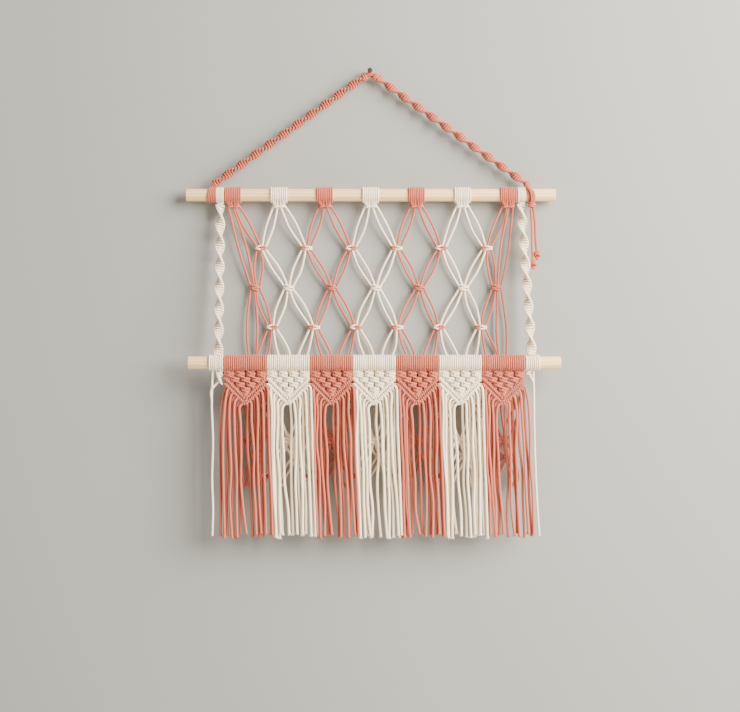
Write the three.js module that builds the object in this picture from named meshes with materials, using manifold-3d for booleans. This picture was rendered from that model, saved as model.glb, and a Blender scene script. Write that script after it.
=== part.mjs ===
// Macrame wall pocket on two wooden dowels. A knotted net hangs from the upper dowel, turns up at
// its foot and is wound onto the lower dowel, which hangs on two side sinnets. Seven knotted flaps
// with fringes hang in front. Millimetres, +X to the right, +Y towards the wall, +Z up.
// The origin is the underside of the hanger's bight, where it bears on its nail.
import * as THREE from 'three';
import { mergeVertices } from 'three/addons/utils/BufferGeometryUtils.js';
import Module from 'manifold-3d';

const wasm = await Module();
wasm.setup();

// Cord and clearances
const cord = 3;
const gap = 0.3;
const pair = 2.1 * cord;

// Dowels
const dowelRadius = 9.5;
const dowelChamfer = 1;
const dowelSides = 32;
const overhang = 31;
const upper = { x: 0, y: -6, z: -176 };
const dowelSpacing = 254;
const lower = { x: 7, y: -30, z: upper.z - dowelSpacing };

// Wrapped rings
const ringSides = 12;
const ringInner = (dowelRadius + gap) / Math.cos(Math.PI / ringSides);
const ringOuter = dowelRadius + cord - 0.2;
const sectionCount = 7;
const topPitch = 69.5;
const topKnotWidth = 25;
const topCentre = 1;
const sectionPitch = 64.4;
const sectionCentre = 6.4;
const sideRingWidth = 13;
const hangerRingWidth = 14;
const bottomWrapWidth = 23;

// Hanger
const bightHalfSpan = 12;
const bightRise = 2;
const bightThick = 12;
const bightDepth = 8;
const ropeWidth = 14;
const ropeThick = 5.5;
const hangerHalfTwist = 24;
const sideHalfTwist = 32;
const ropeSides = 6;
const stepsPerHalfTwist = 3;
const hangerY = -2;
const hangerKnotHalf = { width: 6, height: 5 };
const knotLift = 0.2;
const sideStandOff = 0.4;
const tailKnotRadius = 4;
const tailClearance = 2;

// Net
const gatherDrop = 8;
const wallNetY = 1;
const frontNetY = -20;
const knotDepth = 7;
const knotHalfWidth = 6.8;
const knotHalfHeight = 4.6;
const knotSides = 6;
const netDepth = 421;
const backRows = 7;
const frontRows = 3;
const foldRise = 17;
const splitRise = 16;
const rowTaper = [0, 0.2, 0.6, 1.2, 1, 1, 1, 1];
const rowDrift = [0, 5, 8, 9, 7, 6, 6, 5.4];
const edgePull = [0, 0, 16, 0, 7, 0, 0, 0];

// Flaps
const flapGap = 1.6;
const flapDepth = 7;
const flapY = lower.y - 1.8;
const cornerDrop = 16.5;
const apexDrop = 50;
const ridgeWidth = 8;
const ridgeRelief = 1;
const strandsPerSide = 8;
const strandInset = 5.5;
const strandPitch = 3.5;
const strandWidth = 2.6;
const combBand = 4;
const fringeDrop = 251;

// Colours
const terracotta = '#d48d7b';
const cream = '#efe9dc';
const pine = '#ecd8b6';

const vec = (x, y, z) => new THREE.Vector3(x, y, z);
const hangings = new THREE.Group();

function addPart(name, geometry, color, roughness = 0.95) {
  const material = new THREE.MeshStandardMaterial({ color, roughness, metalness: 0 });
  const mesh = new THREE.Mesh(geometry, material);
  mesh.name = name;
  hangings.add(mesh);
}

// Turns a closed geometry into a solid that can be joined.
function solidOf(geometry) {
  geometry.deleteAttribute('normal');
  geometry.deleteAttribute('uv');
  const merged = mergeVertices(geometry, 1e-4);
  return new wasm.Manifold(new wasm.Mesh({
    numProp: 3,
    vertProperties: new Float32Array(merged.attributes.position.array),
    triVerts: new Uint32Array(merged.index.array),
  }));
}

function join(geometries) {
  const whole = geometries.map(solidOf).reduce((sum, piece) => sum.add(piece)).getMesh();
  const geometry = new THREE.BufferGeometry();
  geometry.setAttribute('position', new THREE.BufferAttribute(whole.vertProperties, 3));
  geometry.setIndex(new THREE.BufferAttribute(whole.triVerts, 1));
  geometry.computeVertexNormals();
  return geometry;
}

// A flat bar between two points; its width lies across the facing direction.
function bar(from, to, width, depth, facing = vec(0, 1, 0)) {
  const along = vec().subVectors(to, from);
  const geometry = new THREE.BoxGeometry(width, depth, along.length());
  along.normalize();
  const side = vec().crossVectors(facing, along).normalize();
  const out = vec().crossVectors(along, side);
  const turn = new THREE.Matrix4().makeBasis(side, out, along);
  turn.setPosition(from.clone().lerp(to, 0.5));
  return geometry.applyMatrix4(turn);
}

// A many-sided knot, flat towards the wall.
function knot(centre, halfWidth, halfHeight, depth) {
  const geometry = new THREE.CylinderGeometry(1, 1, depth, knotSides);
  geometry.rotateY(Math.PI / knotSides).scale(halfWidth, 1, halfHeight);
  return geometry.translate(centre.x, centre.y, centre.z);
}

function ring(axis, start, end) {
  const profile = [
    new THREE.Vector2(ringInner, start),
    new THREE.Vector2(ringOuter, start),
    new THREE.Vector2(ringOuter, end),
    new THREE.Vector2(ringInner, end),
    new THREE.Vector2(ringInner, start),
  ];
  const geometry = new THREE.LatheGeometry(profile, ringSides);
  return geometry.rotateZ(-Math.PI / 2).translate(0, axis.y, axis.z);
}

function dowel(axis, start, end) {
  const profile = [
    new THREE.Vector2(0, start),
    new THREE.Vector2(dowelRadius - dowelChamfer, start),
    new THREE.Vector2(dowelRadius, start + dowelChamfer),
    new THREE.Vector2(dowelRadius, end - dowelChamfer),
    new THREE.Vector2(dowelRadius - dowelChamfer, end),
    new THREE.Vector2(0, end),
  ];
  const geometry = new THREE.LatheGeometry(profile, dowelSides);
  return geometry.rotateZ(-Math.PI / 2).translate(0, axis.y, axis.z);
}

// A half-knot sinnet: a flat oval section that turns as it goes from one end to the other.
function sinnet(from, to, halfTwist, endTurn) {
  const length = from.distanceTo(to);
  const steps = stepsPerHalfTwist * Math.round(length / halfTwist);
  const geometry = new THREE.CylinderGeometry(1, 1, length, ropeSides, steps);
  const place = geometry.attributes.position;
  for (let i = 0; i < place.count; i += 1) {
    const turn = endTurn + (Math.PI * (length / 2 - place.getY(i))) / halfTwist;
    const oval = new THREE.Vector2(place.getX(i) * ropeWidth / 2, place.getZ(i) * ropeThick / 2);
    oval.rotateAround(new THREE.Vector2(), turn);
    place.setXYZ(i, oval.x, place.getY(i), oval.y);
  }
  const along = vec().subVectors(to, from).normalize();
  const side = vec().crossVectors(along, vec(0, 1, 0)).normalize();
  const out = vec().crossVectors(side, along);
  const matrix = new THREE.Matrix4().makeBasis(side, along, out);
  matrix.setPosition(from.clone().lerp(to, 0.5));
  return geometry.applyMatrix4(matrix);
}

// A free cord of round section along hand-placed points.
function freeCord(points) {
  const route = new THREE.CatmullRomCurve3(points.map((point) => vec(...point)));
  const corners = [];
  for (let i = 0; i < 8; i += 1) {
    const angle = (i * Math.PI) / 4;
    corners.push(new THREE.Vector2(Math.cos(angle) * cord / 2, Math.sin(angle) * cord / 2));
  }
  const steps = Math.round(route.getLength() / (2.7 * cord));
  const options = { extrudePath: route, steps, bevelEnabled: false };
  return new THREE.ExtrudeGeometry(new THREE.Shape(corners), options);
}

// Extrudes an outline drawn in X and Z; its depth is centred on y.
function plate(outline, y, depth, curveSegments = 6) {
  const geometry = new THREE.ExtrudeGeometry(outline, { depth, bevelEnabled: false, curveSegments });
  return geometry.rotateX(Math.PI / 2).translate(0, y + depth / 2, 0);
}

function outlineOf(points) {
  return new THREE.Shape(points.map(([x, z]) => new THREE.Vector2(x, z)));
}

// Places along the dowels
const topX = (column) => topCentre + (column - 3) * topPitch;
const sectionX = (column) => sectionCentre + (column - 3) * sectionPitch;
const topEdge = (side) => topX(3 + 3 * side) + side * (topKnotWidth / 2 + gap);
const sideRingEdge = (side) => topEdge(side) + side * sideRingWidth;
const hangerRingStart = (side) => sideRingEdge(side) + side * gap;
const hangerRingEnd = (side) => hangerRingStart(side) + side * hangerRingWidth;
const sectionEdge = (side) => sectionCentre + side * (3.5 * sectionPitch + gap / 2);
const bottomWrapEnd = (side) => sectionEdge(side) + side * bottomWrapWidth;
const isTerracotta = (column) => column % 2 === 0;
const columnColour = (column) => (isTerracotta(column) ? terracotta : cream);
const sideName = (side) => (side < 0 ? 'left' : 'right');

function ringBetween(axis, a, b) {
  return ring(axis, Math.min(a, b), Math.max(a, b));
}

// Hanger: two sinnets from the bight to rings near the ends of the upper dowel
function hangerKnotCentre(side) {
  const z = upper.z + ringInner + knotLift + hangerKnotHalf.height;
  return vec((hangerRingStart(side) + hangerRingEnd(side)) / 2, upper.y, z);
}

function addHanger() {
  const half = hangerKnotHalf;
  const tip = vec(bightHalfSpan, 0, bightRise);
  const thick = ropeThick / 2 + 0.7;
  const target = hangerKnotCentre(1);
  const lean = Math.atan2(tip.z - target.z, target.x - tip.x);
  const outline = new THREE.Shape();
  const rise = (value) => 2 * value - tip.z;
  const endX = thick * Math.sin(lean);
  const endZ = thick * Math.cos(lean);
  outline.moveTo(-tip.x + endX, tip.z - endZ);
  outline.quadraticCurveTo(0, rise(0) + endZ, tip.x - endX, tip.z - endZ);
  outline.lineTo(tip.x + endX, tip.z + endZ);
  outline.quadraticCurveTo(0, rise(bightThick) - endZ, -tip.x - endX, tip.z + endZ);
  addPart('hanger_apex', plate(outline, hangerY, bightDepth), terracotta);
  for (const side of [-1, 1]) {
    const centre = hangerKnotCentre(side);
    const start = vec(side * tip.x, hangerY, tip.z);
    const along = vec().subVectors(centre, start).normalize();
    const from = start.clone().addScaledVector(along, gap);
    const to = centre.clone().addScaledVector(along, -half.height - gap);
    addPart(`hanger_${sideName(side)}`, sinnet(to, from, hangerHalfTwist, 0), terracotta);
    const pieces = [
      ringBetween(upper, hangerRingStart(side), hangerRingEnd(side)),
      knot(centre, half.width, half.height, cord + 5),
    ];
    if (side > 0) pieces.push(knot(tailKnotCentre(), half.width - 1, half.height, cord + 5));
    addPart(`hanger_${sideName(side)}_wrap`, join(pieces), terracotta);
  }
}

// Tails: the hanger's two loose ends, below the knot on its right ring
function tailKnotCentre() {
  return vec(hangerKnotCentre(1).x + 1.8, upper.y - 7, upper.z - ringOuter - 3.4);
}

// How far the tails are pushed outwards by the side sinnet, at a height
function tailPush(z) {
  const top = sideTop(1);
  const bottom = sideBottom(1);
  const sinnetX = top.x + ((bottom.x - top.x) * (top.z - z)) / (top.z - bottom.z);
  return Math.max(0, sinnetX + ropeWidth / 2 + tailClearance - tailKnotCentre().x);
}

function addTails() {
  const top = tailKnotCentre();
  const start = top.z - hangerKnotHalf.height - gap;
  const tail = (places) => freeCord(places.map(([x, drop]) => [
    top.x + x + tailPush(start - drop), top.y, start - drop]));
  const endKnot = (x, drop) => {
    const z = start - drop - tailKnotRadius - gap;
    return tailEnd(vec(top.x + x + tailPush(z), top.y, z));
  };
  addPart('tail_inner', tail([[-1.2, 0], [-0.6, 20], [-0.3, 40], [0.1, 60], [2.0, 79]]), terracotta);
  addPart('tail_outer', tail([[2.6, 0], [5.6, 16], [6.8, 34], [7.2, 50], [8.0, 65]]), terracotta);
  addPart('tail_inner_knot', endKnot(2.4, 79), terracotta);
  addPart('tail_outer_knot', endKnot(8.2, 65), terracotta);
}

function tailEnd(centre) {
  const geometry = new THREE.SphereGeometry(tailKnotRadius, 8, 4);
  return geometry.rotateX(Math.PI / 2).translate(centre.x, centre.y, centre.z);
}

// Dowels and the side sinnets between them
function addDowels() {
  const upperEnd = (side) => hangerRingEnd(side) + side * overhang;
  const lowerEnd = (side) => bottomWrapEnd(side) + side * overhang;
  addPart('upper_dowel', dowel(upper, upperEnd(-1), upperEnd(1)), pine, 0.6);
  addPart('lower_dowel', dowel(lower, lowerEnd(-1), lowerEnd(1)), pine, 0.6);
}

function sideTop(side) {
  return vec((topEdge(side) + sideRingEdge(side)) / 2, upper.y, upper.z - (ringInner + ringOuter) / 2);
}

// The foot stands clear of its wrap by more when the sinnet leans
function sideBottom(side) {
  const x = sectionEdge(side) + side * bottomWrapWidth * (side < 0 ? 0.38 : 0.47);
  const lean = Math.abs(x - sideTop(side).x) / dowelSpacing;
  const lift = Math.max(0, (ropeWidth / 2) * lean - sideStandOff);
  return vec(x, lower.y, lower.z + ringOuter + gap + sideStandOff + lift);
}

function addSide(side) {
  const top = sideTop(side);
  const bottom = sideBottom(side);
  const rope = sinnet(bottom, top, sideHalfTwist, Math.PI / 2);
  const topRing = ringBetween(upper, topEdge(side), sideRingEdge(side));
  addPart(`side_sinnet_${sideName(side)}`, join([topRing, rope]), cream);
  const knotX = sectionEdge(side) + side * (gap + 5.5);
  const knotCentre = vec(knotX, lower.y, lower.z - ringInner - knotLift - 5.6);
  const wrap = ringBetween(lower, sectionEdge(side), bottomWrapEnd(side));
  addPart(`side_bottom_wrap_${sideName(side)}`, join([wrap, knot(knotCentre, 4, 5.6, 6)]), cream);
}

function addSideStrands() {
  const top = lower.z - ringOuter - gap;
  const left = sectionEdge(-1) - 17;
  addPart('side_strand_left', freeCord([
    [left, lower.y, top],
    [left - 1.5, lower.y, top - 50],
    [left + 0.5, lower.y, top - 105],
    [left - 1, lower.y, top - 160],
    [left + 0.5, lower.y, top - 205],
    [left - 0.5, lower.y, top - 247],
  ]), cream);
  const right = sectionEdge(1) + 13;
  addPart('side_strand_right', freeCord([
    [right, lower.y, top],
    [right + 1, lower.y, top - 45],
    [right + 1.5, lower.y, top - 90],
    [right + 3, lower.y, top - 140],
    [right + 5.5, lower.y, top - 195],
    [right + 9, lower.y, top - 247],
  ]), cream);
}

// Net: two pairs of strands a column, knotted to each other and to the next column by turns
const gatherZ = upper.z - ringOuter - gatherDrop;
const foldZ = gatherZ - netDepth;
const splitZ = foldZ + splitRise;
const backRowZ = (row) => gatherZ - (row * netDepth) / backRows;
const panelTop = lower.z - ringOuter - gap;
const frontRowZ = (row) => foldZ + foldRise + (row * (panelTop - foldZ - foldRise)) / frontRows;

function rowPitch(row) {
  return topPitch + (sectionPitch - topPitch) * rowTaper[row];
}

function ownX(row, column) {
  const pull = column === 0 ? edgePull[row] : column === sectionCount - 1 ? -edgePull[row] : 0;
  return topCentre + rowDrift[row] + (column - 3) * rowPitch(row) + pull;
}

function sharedX(row, column, side) {
  return topCentre + rowDrift[row] + (column - 3 + side / 2) * rowPitch(row);
}

const isOuterChain = (column, side) => column + side < 0 || column + side >= sectionCount;

// Knot places of one pair of strands, from the gather down to where the front net takes over.
function backChain(column, side) {
  const inset = pair / 2 + gap;
  const places = [vec(topX(column) + side * 5, upper.y + 1, gatherZ - gap)];
  for (let row = 1; row < backRows; row += 1) {
    const own = row % 2 === 0;
    if (own) places.push(vec(ownX(row, column) + side * inset, wallNetY, backRowZ(row)));
    else if (!isOuterChain(column, side)) {
      places.push(vec(sharedX(row, column, side) - side * (inset + 0.3), wallNetY, backRowZ(row)));
    }
  }
  const lean = (places[1].x - places[0].x) / places[0].distanceTo(places[1]);
  places[0].z -= Math.abs(lean) * pair / 2;
  places.push(vec(foldX(column, side, 0.4), wallNetY, splitZ));
  return places;
}

// Across the foot of the net the strands go from the column's last knot towards the next shared one.
function foldX(column, side, share) {
  const from = ownX(backRows - 1, column) + side * (pair / 2 + gap);
  const to = sectionX(column) + side * (sectionPitch / 2 - pair / 2 - gap);
  return isOuterChain(column, side) ? from + side * 6 : from + (to - from) * share;
}

function frontChain(column, side) {
  const centre = sectionX(column);
  const inset = pair / 2 + gap;
  const own = centre + side * inset;
  const shared = isOuterChain(column, side)
    ? foldX(column, side, 1)
    : centre + side * (sectionPitch / 2 - inset - 0.3);
  return [
    vec(foldX(column, side, 0.75), frontNetY, foldZ),
    vec(shared, frontNetY, frontRowZ(0)),
    vec(own, frontNetY, frontRowZ(1)),
    vec(shared, frontNetY - 1, frontRowZ(2)),
    vec(centre + side * sectionPitch / 4, lower.y + 3.4, panelTop - 0.6),
  ];
}

function chainBars(places) {
  return places.slice(1).map((place, i) => bar(places[i], place, pair, cord));
}

function addBackNet(column) {
  const pieces = [];
  for (const side of [-1, 1]) {
    const places = backChain(column, side);
    pieces.push(...chainBars(places));
    for (let row = 1; row < backRows && !isOuterChain(column, side); row += 2) {
      pieces.push(knot(places[row], pair / 2 + 0.3, knotHalfHeight, knotDepth));
    }
  }
  for (let row = 2; row < backRows; row += 2) {
    const centre = vec(ownX(row, column), wallNetY, backRowZ(row));
    pieces.push(knot(centre, knotHalfWidth, knotHalfHeight, knotDepth));
  }
  addPart(`net_back_${column + 1}`, join(pieces), columnColour(column));
}

function addFrontNet(column) {
  const centre = vec(sectionX(column), frontNetY, frontRowZ(1));
  const pieces = [knot(centre, knotHalfWidth, knotHalfHeight, knotDepth)];
  for (const side of [-1, 1]) {
    const places = frontChain(column, side);
    const foot = vec(foldX(column, side, 0.55), wallNetY - cord / 2 - 1.1, foldZ);
    const front = vec(places[0].x, places[0].y - cord / 2, foldZ);
    pieces.push(bar(foot, front, pair, cord, vec(0, 0, 1)));
    pieces.push(...chainBars(places));
    for (const row of isOuterChain(column, side) ? [] : [1, 3]) {
      pieces.push(knot(places[row], pair / 2 + 0.3, knotHalfHeight, knotDepth));
    }
  }
  addPart(`net_front_${column + 1}`, join(pieces), columnColour(column));
}

function addTopKnot(column) {
  const top = upper.z - ringInner - knotLift;
  const centre = vec(topX(column), upper.y, (top + gatherZ) / 2);
  const wrap = ring(upper, topX(column) - topKnotWidth / 2, topX(column) + topKnotWidth / 2);
  const gather = knot(centre, topKnotWidth / 3, (top - gatherZ) / 2, knotDepth);
  addPart(`top_knot_${column + 1}`, join([wrap, gather]), columnColour(column));
}

function addFrontWrap(column) {
  const half = (sectionPitch - gap) / 2;
  const wrap = ring(lower, sectionX(column) - half, sectionX(column) + half);
  addPart(`front_wrap_${column + 1}`, wrap, columnColour(column));
}

// Flaps: a pointed knotted panel and the comb of cords that hangs from its lower edge
const flapHalf = (sectionPitch - flapGap) / 2;
const edgeSlope = (apexDrop - cornerDrop) / flapHalf;
const edgeZ = (offset) => panelTop - apexDrop + Math.abs(offset) * edgeSlope;

function addKnotPanel(column) {
  const x = sectionX(column);
  const edge = [[flapHalf, panelTop - cornerDrop], [0, panelTop - apexDrop], [-flapHalf, panelTop - cornerDrop]];
  const field = [[-flapHalf, panelTop], [flapHalf, panelTop], ...edge];
  const rise = ridgeWidth * Math.hypot(1, edgeSlope);
  const ridge = [...edge, ...[...edge].reverse().map(([ex, ez]) => [ex, ez + rise])];
  const pieces = [
    plate(outlineOf(field), flapY, flapDepth - 2 * ridgeRelief),
    plate(outlineOf(ridge), flapY, flapDepth),
  ];
  addPart(`knot_panel_${column + 1}`, join(pieces).translate(x, 0, 0), columnColour(column));
}

function addFringe(column) {
  const drop = gap * Math.hypot(1, edgeSlope);
  const top = (offset) => edgeZ(offset) - drop;
  const outline = [[-flapHalf, top(flapHalf)], [0, top(0)], [flapHalf, top(flapHalf)]];
  const teeth = [];
  for (let i = -strandsPerSide; i < strandsPerSide; i += 1) {
    const step = i < 0 ? i + 1 : i;
    teeth.push((i < 0 ? -strandInset : strandInset) + step * strandPitch);
  }
  const foot = panelTop - fringeDrop;
  const crotch = [0, top(0) - combBand];
  for (const x of teeth.reverse()) {
    const right = x + strandWidth / 2;
    const left = x - strandWidth / 2;
    if (x === -strandInset) outline.push(crotch);
    outline.push([right, top(right) - combBand], [right, foot], [left, foot], [left, top(left) - combBand]);
  }
  const comb = plate(outlineOf(outline), flapY, strandWidth);
  addPart(`fringe_${column + 1}`, comb.translate(sectionX(column), 0, 0), columnColour(column));
}

addHanger();
addTails();
addDowels();
addSide(-1);
addSide(1);
addSideStrands();
for (let column = 0; column < sectionCount; column += 1) {
  addTopKnot(column);
  addBackNet(column);
  addFrontNet(column);
  addFrontWrap(column);
  addKnotPanel(column);
  addFringe(column);
}

export default hangings;
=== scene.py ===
# Macrame wall pocket: two pine dowels, a net of cords that folds up into a pocket,
# seven knotted flaps with fringes, and a spiral hanger. Metres, +Z up, +Y towards the wall.
import math
import random

import bmesh
import bpy
import numpy as np
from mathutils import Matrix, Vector


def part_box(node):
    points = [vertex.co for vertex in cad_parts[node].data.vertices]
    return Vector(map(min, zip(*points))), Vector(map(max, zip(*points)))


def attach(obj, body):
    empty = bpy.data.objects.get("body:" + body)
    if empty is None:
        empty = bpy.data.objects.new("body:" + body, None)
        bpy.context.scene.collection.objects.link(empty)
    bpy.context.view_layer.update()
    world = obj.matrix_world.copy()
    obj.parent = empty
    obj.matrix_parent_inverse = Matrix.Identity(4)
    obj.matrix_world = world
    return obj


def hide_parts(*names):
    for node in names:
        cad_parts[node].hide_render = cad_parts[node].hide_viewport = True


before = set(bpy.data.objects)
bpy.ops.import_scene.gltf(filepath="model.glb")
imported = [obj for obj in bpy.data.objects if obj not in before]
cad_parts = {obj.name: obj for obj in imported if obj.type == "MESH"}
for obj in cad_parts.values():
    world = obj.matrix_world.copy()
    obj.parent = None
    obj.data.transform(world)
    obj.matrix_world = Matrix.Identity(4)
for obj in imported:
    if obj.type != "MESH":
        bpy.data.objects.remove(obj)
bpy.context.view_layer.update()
mm = 0.001
dice = random.Random(7)

rope = {
    "radius": 1.65 * mm,     # cotton cord as it hangs
    "packed": 1.42 * mm,     # the same cord pressed against its neighbours
    "sides": 8,
    "step": 3 * mm,          # distance between the rings of a tube
}
sections = 7


# Places, from the frame

def boxOf(node):
    low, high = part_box(node)
    return Vector(low), Vector(high)


def middleOf(node):
    low, high = boxOf(node)
    return (low + high) / 2


upperAxis = middleOf("upper_dowel")
lowerAxis = middleOf("lower_dowel")
dowelRadius = (boxOf("upper_dowel")[1].z - boxOf("upper_dowel")[0].z) / 2
windRadius = dowelRadius + rope["packed"]
topX = [middleOf(f"top_knot_{k + 1}").x for k in range(sections)]
sectionX = [middleOf(f"front_wrap_{k + 1}").x for k in range(sections)]
topPitch = topX[1] - topX[0]
sectionPitch = sectionX[1] - sectionX[0]
gatherZ = boxOf("top_knot_1")[0].z
foldZ = boxOf("net_front_4")[0].z + 1.5 * mm
splitZ = boxOf("net_back_4")[0].z
wallNetY = 1 * mm
frontNetY = -20 * mm
panelTop = boxOf("knot_panel_1")[1].z
flapY = middleOf("knot_panel_1").y
fringeFoot = boxOf("fringe_1")[0].z


# Small wrappers for node graphs

class Wire:
    def __init__(self, graph, socket):
        self.graph = graph
        self.socket = socket

    def maths(self, operation, first, second):
        return self.graph.add("ShaderNodeMath", {"operation": operation}, {0: first, 1: second})

    def __add__(self, other):
        return self.maths("ADD", self, other)

    def __radd__(self, other):
        return self.maths("ADD", other, self)

    def __sub__(self, other):
        return self.maths("SUBTRACT", self, other)

    def __rsub__(self, other):
        return self.maths("SUBTRACT", other, self)

    def __mul__(self, other):
        return self.maths("MULTIPLY", self, other)

    def __rmul__(self, other):
        return self.maths("MULTIPLY", other, self)

    def __pow__(self, other):
        return self.maths("POWER", self, other)

    def sine(self):
        return self.maths("SINE", self, 0)

    def other(self, name):
        return Wire(self.graph, self.socket.node.outputs[name])


class Graph:
    def __init__(self, tree):
        self.tree = tree

    def blend(self, share, first, second):
        settings = {"data_type": "RGBA"}
        return self.add("ShaderNodeMix", settings, {0: share, 6: first, 7: second}, out=2)

    def add(self, kind, settings=None, inputs=None, out=0):
        node = self.tree.nodes.new(kind)
        for key, value in (settings or {}).items():
            if key == "ramp":
                self.fillRamp(node.color_ramp, value)
            else:
                setattr(node, key, value)
        for key, value in (inputs or {}).items():
            if isinstance(value, Wire):
                self.tree.links.new(value.socket, node.inputs[key])
            else:
                node.inputs[key].default_value = value
        return Wire(self, node.outputs[out]) if node.outputs else node

    def fillRamp(self, ramp, stops):
        ramp.elements[0].position, ramp.elements[0].color = stops[0]
        ramp.elements[1].position, ramp.elements[1].color = stops[-1]
        for place, colour in stops[1:-1]:
            ramp.elements.new(place).color = colour

    def port(self, name, direction, kind):
        return self.tree.interface.new_socket(name, in_out=direction, socket_type=kind)


def linear(red, green, blue):
    def channel(value):
        part = value / 255
        return part / 12.92 if part <= 0.04045 else ((part + 0.055) / 1.055) ** 2.4
    return (channel(red), channel(green), channel(blue), 1.0)


def scaled(colour, factors):
    return tuple(channel * factor for channel, factor in zip(colour, factors)) + (1.0,)


def startMaterial(name):
    material = bpy.data.materials.new(name)
    material.use_nodes = True
    material.node_tree.nodes.clear()
    return material, Graph(material.node_tree)


def meshOf(name, places, edges, faces):
    mesh = bpy.data.meshes.new(name)
    mesh.from_pydata(places, edges, faces)
    return mesh


def linked(name, data):
    thing = bpy.data.objects.new(name, data)
    bpy.context.scene.collection.objects.link(thing)
    return thing


# Materials

cotton = {
    "terracotta": linear(190, 101, 78),
    "cream": linear(249, 235, 208),
    "shade": (0.64, 0.49, 0.34),     # painted shade: how dark and warm the valleys between the plies are painted
    # painted highlight on the crests of the plies
    "crest": (1.06, 1.06, 1.06),
    "plies": 3,
    "lay": 8.5 * mm,                 # length of one turn of the plies
    "bump": 0.5,
    "fuzz": 1400,                    # fibres, across a metre
}


def cottonMaterial(name, colour):
    material, graph = startMaterial(name)
    around, along, tone = [graph.add("ShaderNodeAttribute", {"attribute_name": key}, out=out)
                           for key, out in (("around", "Vector"), ("along", "Fac"), ("tone", "Fac"))]
    split = graph.add("ShaderNodeSeparateXYZ", None, {"Vector": around})
    angle = split.maths("ARCTAN2", split.other("Y"), split)
    turn = angle * cotton["plies"] + along * (2 * math.pi * cotton["plies"] / cotton["lay"])
    ply = turn.sine() * 0.5 + 0.5
    place = graph.add("ShaderNodeTexCoord", out="Object")
    fibres = graph.add("ShaderNodeTexNoise", None,
                       {"Vector": place, "Scale": cotton["fuzz"], "Detail": 2, "Roughness": 0.6})
    patches = graph.add("ShaderNodeTexNoise", None, {"Vector": place, "Scale": 45, "Detail": 2})
    # The ply term paints shade into the valleys and a highlight onto the crests; fibres, patches and each
    # cord's random shift are the cotton's own colour, and shifts below zero are painted shade
    light = 0.30 + 0.40 * ply + 0.18 * fibres + 0.16 * tone + 0.16 * (patches - 0.5)
    mixed = graph.blend(light, scaled(colour, cotton["shade"]), scaled(colour, cotton["crest"]))
    height = ply * 0.7 + fibres * 0.5
    bump = graph.add("ShaderNodeBump", None,
                     {"Height": height, "Strength": cotton["bump"], "Distance": 0.6 * mm})
    surface = graph.add("ShaderNodeBsdfPrincipled", None, {
        "Base Color": mixed, "Normal": bump, "Roughness": 0.93, "Specular IOR Level": 0.12,
        "Sheen Weight": 0.25, "Sheen Roughness": 0.5})
    graph.add("ShaderNodeOutputMaterial", None, {"Surface": surface})
    return material


pine = {
    "pale": linear(246, 209, 152),
    "grain": linear(208, 156, 98),
    "rings": 210,            # growth rings across a metre
    "stretch": 0.035,        # how far the grain is drawn out along the dowel
}


def pineMaterial(name, axis):
    material, graph = startMaterial(name)
    place = graph.add("ShaderNodeTexCoord", out="Object")
    drawn = graph.add("ShaderNodeMapping", None, {
        "Vector": place, "Location": (0.3, -axis.y + 0.021, -axis.z + 0.034),
        "Scale": (pine["stretch"], 1, 1)})
    sway = graph.add("ShaderNodeTexNoise", None, {"Vector": drawn, "Scale": 60, "Detail": 3})
    split = graph.add("ShaderNodeSeparateXYZ", None, {"Vector": drawn})
    deep, high = split.other("Y"), split.other("Z")
    reach = (deep * deep + high * high) ** 0.5
    rings = reach * (pine["rings"] * 2 * math.pi) + sway * 5
    band = rings.sine() * 0.5 + 0.5
    pores = graph.add("ShaderNodeMapping", None, {"Vector": place, "Scale": (0.02, 1, 1)})
    fine = graph.add("ShaderNodeTexNoise", None, {"Vector": pores, "Scale": 1800, "Detail": 3})
    mixed = graph.blend(band ** 3 * 0.55 + fine * 0.5 - 0.12, pine["pale"], pine["grain"])
    bump = graph.add("ShaderNodeBump", None, {"Height": fine, "Strength": 0.25, "Distance": 0.2 * mm})
    surface = graph.add("ShaderNodeBsdfPrincipled", None, {
        "Base Color": mixed, "Normal": bump, "Roughness": 0.62 + 0.12 * band,
        "Specular IOR Level": 0.3})
    graph.add("ShaderNodeOutputMaterial", None, {"Surface": surface})
    return material


terracotta = cottonMaterial("cotton_terracotta", cotton["terracotta"])
cream = cottonMaterial("cotton_cream", cotton["cream"])
print("materials made")


def columnCotton(column):
    return cream if column % 2 else terracotta


# Node trees: a cord round a path, and a cord wound on a dowel

def startTree(name, ports):
    tree = bpy.data.node_groups.new(name, "GeometryNodeTree")
    graph = Graph(tree)
    graph.port("Geometry", "INPUT", "NodeSocketGeometry")
    for label, kind in ports:
        graph.port(label, "INPUT", kind)
    graph.port("Geometry", "OUTPUT", "NodeSocketGeometry")
    source = tree.nodes.new("NodeGroupInput")
    return graph, {socket.name: Wire(graph, socket) for socket in source.outputs if socket.name}


def tubeAround(graph, curve, sides, scale):
    circle = graph.add("GeometryNodeCurvePrimitiveCircle", None, {"Resolution": sides, "Radius": 1.0})
    here = graph.add("GeometryNodeInputPosition")
    marked = graph.add("GeometryNodeStoreNamedAttribute", {"data_type": "FLOAT_VECTOR"},
                       {"Geometry": circle, "Name": "around", "Value": here})
    length = graph.add("GeometryNodeSplineParameter", out="Length")
    measured = graph.add("GeometryNodeStoreNamedAttribute", None,
                         {"Geometry": curve, "Name": "along", "Value": length})
    return graph.add("GeometryNodeCurveToMesh", None, {
        "Curve": measured, "Profile Curve": marked, "Scale": scale, "Fill Caps": True})


def closeTree(graph, mesh, material):
    shaded = graph.add("GeometryNodeSetShadeSmooth", None, {"Geometry": mesh})
    real = graph.add("GeometryNodeRealizeInstances", None, {"Geometry": shaded})
    dyed = graph.add("GeometryNodeSetMaterial", None, {"Geometry": real, "Material": material})
    graph.add("NodeGroupOutput", None, {"Geometry": dyed})


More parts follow.
